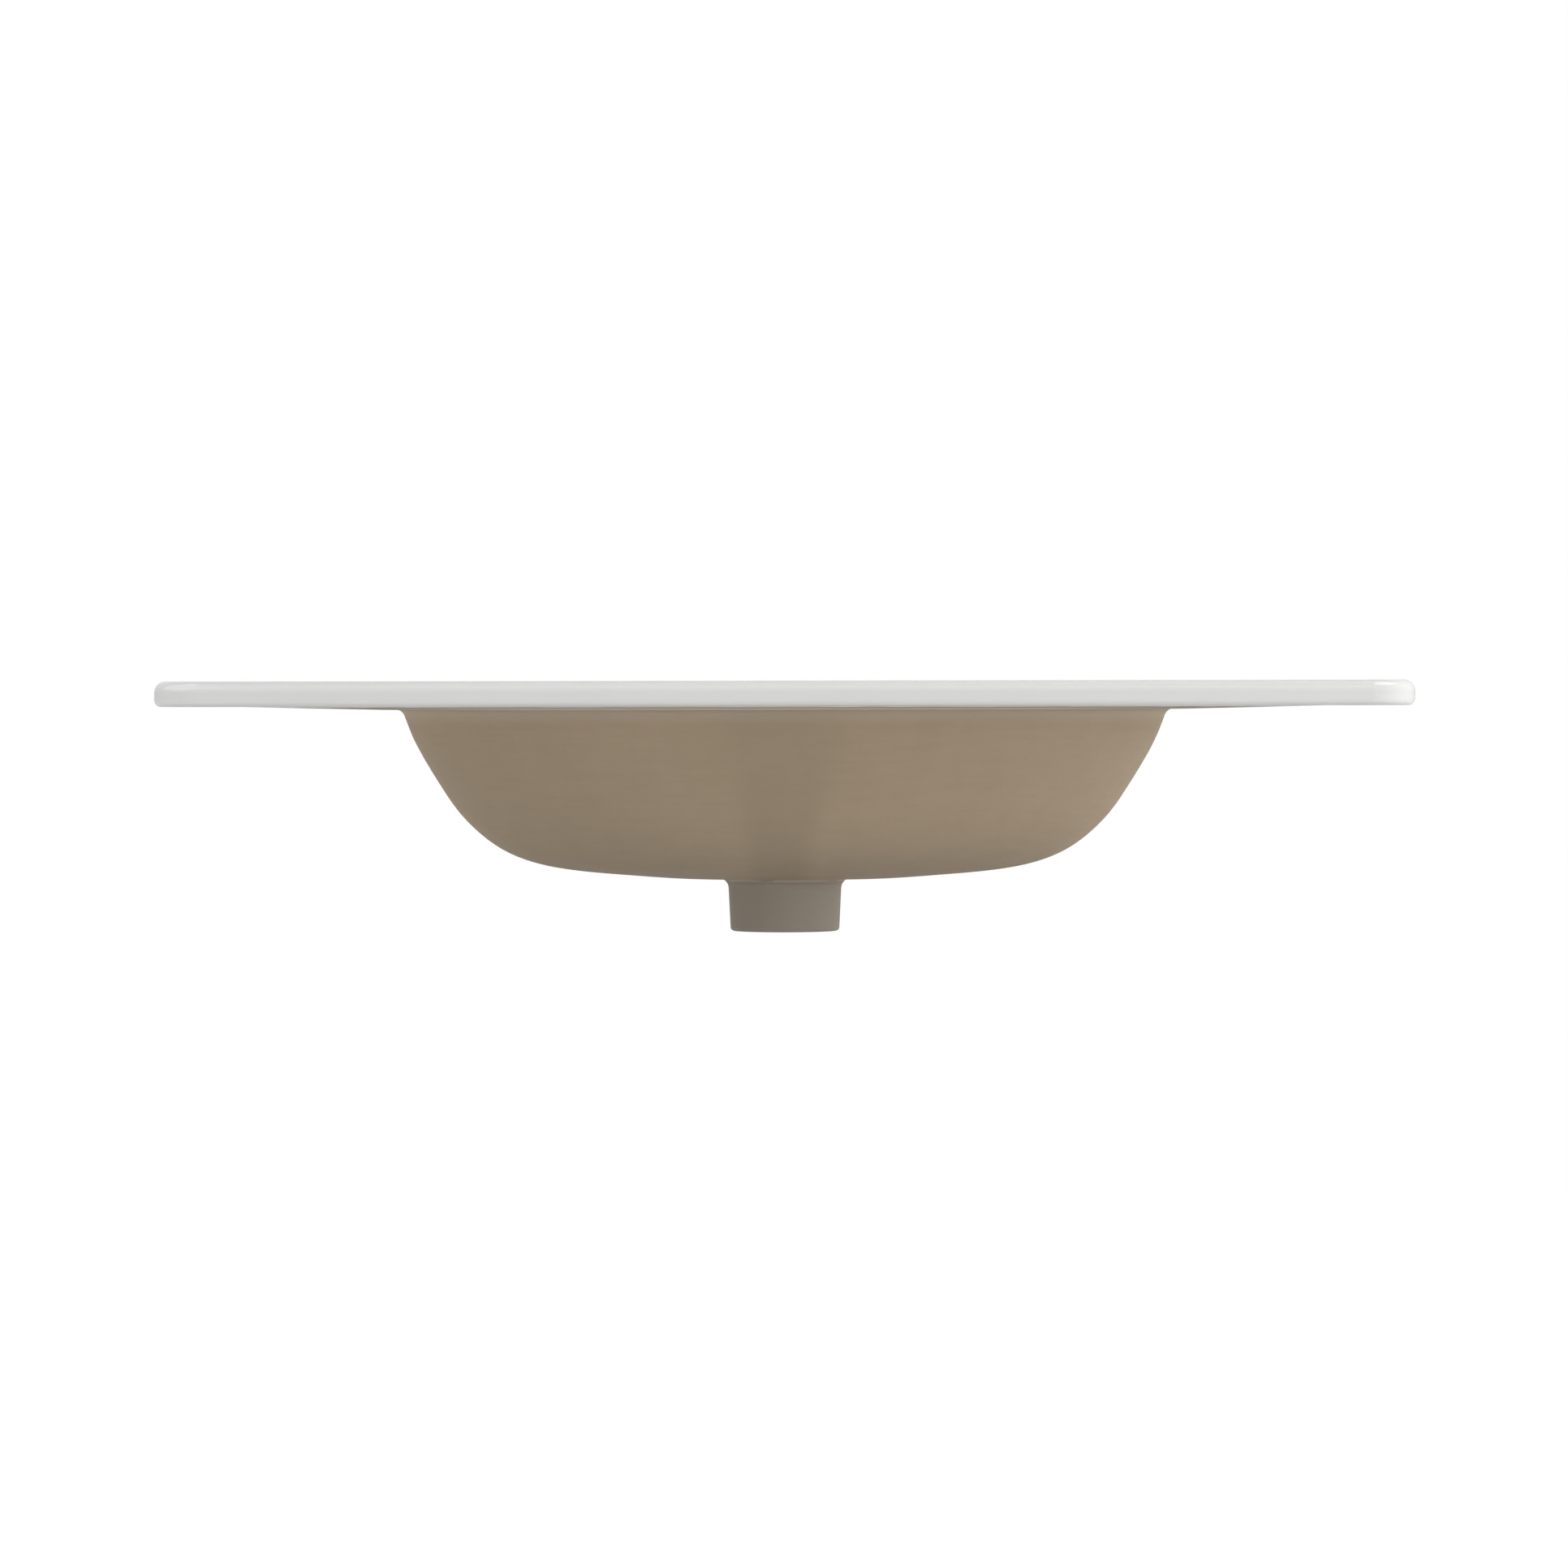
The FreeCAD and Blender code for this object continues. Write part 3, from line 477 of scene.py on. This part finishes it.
def floor():
    """Pale paper that fades to plain white a couple of metres from the basin."""
    half = FLOOR_SIDE / 2
    corners = [(-half, -half, 0), (half, -half, 0), (half, half, 0), (-half, half, 0)]
    mesh = bpy.data.meshes.new("floor")
    mesh.from_pydata(corners, [], [(0, 1, 2, 3)])
    plane = bpy.data.objects.new("floor", mesh)
    plane.location.z = -FLOOR_DEPTH
    bpy.context.scene.collection.objects.link(plane)
    paper = bpy.data.materials.new("floor_paper")
    graph = Graph(paper)
    place = graph.position()
    shade = graph.mix(graph.marks(place, FLOOR_NOISE, MIDDLE_SPAN), FLOOR_COLOUR, FLOOR_COLOUR_WORN)
    distance = graph.add("ShaderNodeVectorMath", {0: place}, operation="LENGTH").outputs["Value"]
    glow = graph.ramp(distance, GLOW_SPAN, GLOW_LEVELS)
    path = graph.add("ShaderNodeLightPath").outputs
    seen = graph.math("MAXIMUM", path["Is Camera Ray"], path["Is Transmission Ray"])
    seen = graph.math("MAXIMUM", seen, graph.times(path["Is Glossy Ray"], FLOOR_MIRRORED))
    graph.show(graph.principled(
        Base_Color=shade, Roughness=FLOOR_ROUGHNESS,
        Emission_Color=WHITE, Emission_Strength=graph.times(seen, glow)))
    mesh.materials.append(paper)


# World: its light on the object, and its level in mirrors from the horizon up
WORLD_LIGHT = 0.20
WORLD_MIRRORED_SPAN = Span(0.0, 0.5)
WORLD_MIRRORED_LEVELS = (0.55, 1.25)


def world():
    """White to the eye, pale in mirrors; a softer level lights the object."""
    backdrop = bpy.data.worlds.new("studio")
    bpy.context.scene.world = backdrop
    graph = Graph(backdrop, "ShaderNodeOutputWorld")
    path = graph.add("ShaderNodeLightPath").outputs
    height = graph.split(graph.add("ShaderNodeTexCoord").outputs["Generated"])["Z"]
    sky = graph.ramp(height, WORLD_MIRRORED_SPAN, WORLD_MIRRORED_LEVELS, "LINEAR")
    in_mirror = graph.math("MAXIMUM", path["Is Glossy Ray"], path["Is Transmission Ray"])
    level = graph.blend(in_mirror, WORLD_LIGHT, sky)
    strength = graph.blend(path["Is Camera Ray"], level, 1.0)
    graph.show(graph.add("ShaderNodeBackground", {"Color": WHITE, "Strength": strength}))


DECK_MIDDLE = (0.0, 0.0, 0.0)
BOWL_FRONT = (0.0, -0.1, -0.02)
BOWL_BACK = (0.0, 0.1, -0.03)

# Lamps that light the object and show in its glaze
KEY_LAMPS = {
    "top_light": Lamp((0.2, -0.3, 2.4), DECK_MIDDLE, 2.6, 1.8, 15.3),
    "front_light": Lamp((0.0, -2.4, 2.4), BOWL_FRONT, 2.2, 1.2, 11.0),
}

# Lamps that only light it
FILL_LAMPS = {
    "top_back_light": Lamp((0.0, 1.3, 2.2), DECK_MIDDLE, 2.0, 1.0, 16.0),
    "right_light": Lamp((2.6, -1.6, 0.9), BOWL_FRONT, 1.2, 1.6, 15.4),
    "right_front_light": Lamp((1.6, -3.0, 0.1), BOWL_FRONT, 1.0, 1.0, 19.5),
    "right_side_light": Lamp((2.8, -0.6, -0.1), BOWL_FRONT, 1.0, 1.2, 9.5),
    "right_rim_light": Lamp((2.8, 0.3, -0.2), BOWL_FRONT, 1.0, 1.2, 4.6),
    "right_low_light": Lamp((2.4, -1.3, -0.45), BOWL_FRONT, 0.9, 0.7, 19.0),
    "left_side_light": Lamp((-2.8, -0.8, -0.1), BOWL_FRONT, 1.0, 1.2, 2.3),
    "left_low_light": Lamp((-2.4, -1.3, -0.45), BOWL_FRONT, 0.9, 0.7, 24.7),
    "back_right_light": Lamp((1.8, 2.6, 0.2), BOWL_BACK, 1.4, 1.4, 26.0),
    "back_left_light": Lamp((-1.8, 2.6, 0.2), BOWL_BACK, 1.4, 1.4, 20.0),
}

# Panels that only show in reflections, on the glazed corners
MIRROR_PANELS = {
    "left_panel": Lamp((-1.25, -1.03, 1.20), (-0.05, -1.03, 0.0), 2.35, 1.9, 33.0),
    "right_panel": Lamp((1.31, -0.4, 1.9), (1.31, -0.4, 0.0), 1.18, 1.6, 18.5),
}


def softbox(name, lamp, mirrored=True, lights=True):
    """Hang one area lamp, which the camera itself never sees."""
    light = bpy.data.lights.new(name, "AREA")
    light.shape = "RECTANGLE"
    light.size = lamp.width
    light.size_y = lamp.height
    light.energy = lamp.power
    box = bpy.data.objects.new(name, light)
    box.location = lamp.place
    aim = Vector(lamp.target) - Vector(lamp.place)
    box.rotation_euler = aim.to_track_quat("-Z", "Y").to_euler()
    box.visible_camera = False
    box.visible_glossy = mirrored
    box.visible_diffuse = lights
    bpy.context.scene.collection.objects.link(box)


def studio_light():
    """All lamps of the studio."""
    for name, lamp in KEY_LAMPS.items():
        softbox(name, lamp)
    for name, lamp in FILL_LAMPS.items():
        softbox(name, lamp, mirrored=False)
    for name, lamp in MIRROR_PANELS.items():
        softbox(name, lamp, lights=False)


def camera():
    """Camera at the photograph's place, with its framing and its slight roll."""
    lens = bpy.data.cameras.new("camera")
    lens.sensor_width = SENSOR_WIDTH
    focal_pixels = DECK_PIXELS * (CAMERA_DISTANCE + WIDEST_SETBACK) / deck_width
    lens.lens = SENSOR_WIDTH * focal_pixels / PHOTO_SIDE
    pitch = math.atan((PHOTO_SIDE / 2 - EYE_LEVEL_PIXEL) / focal_pixels)
    aside = (PHOTO_SIDE / 2 - DECK_MIDDLE_PIXEL) * CAMERA_DISTANCE / focal_pixels
    eye = bpy.data.objects.new("camera", lens)
    tilt = Matrix.Rotation(math.pi / 2 - pitch, 4, "X")
    roll = Matrix.Rotation(math.radians(ROLL_DEGREES), 4, "Z")
    place = Matrix.Translation((aside, deck_low.y - CAMERA_DISTANCE, CAMERA_HEIGHT))
    eye.matrix_world = place @ tilt @ roll
    bpy.context.scene.collection.objects.link(eye)
    bpy.context.scene.camera = eye


dress_all()
world()
floor()
studio_light()
camera()
bpy.context.scene.view_settings.view_transform = "Standard"
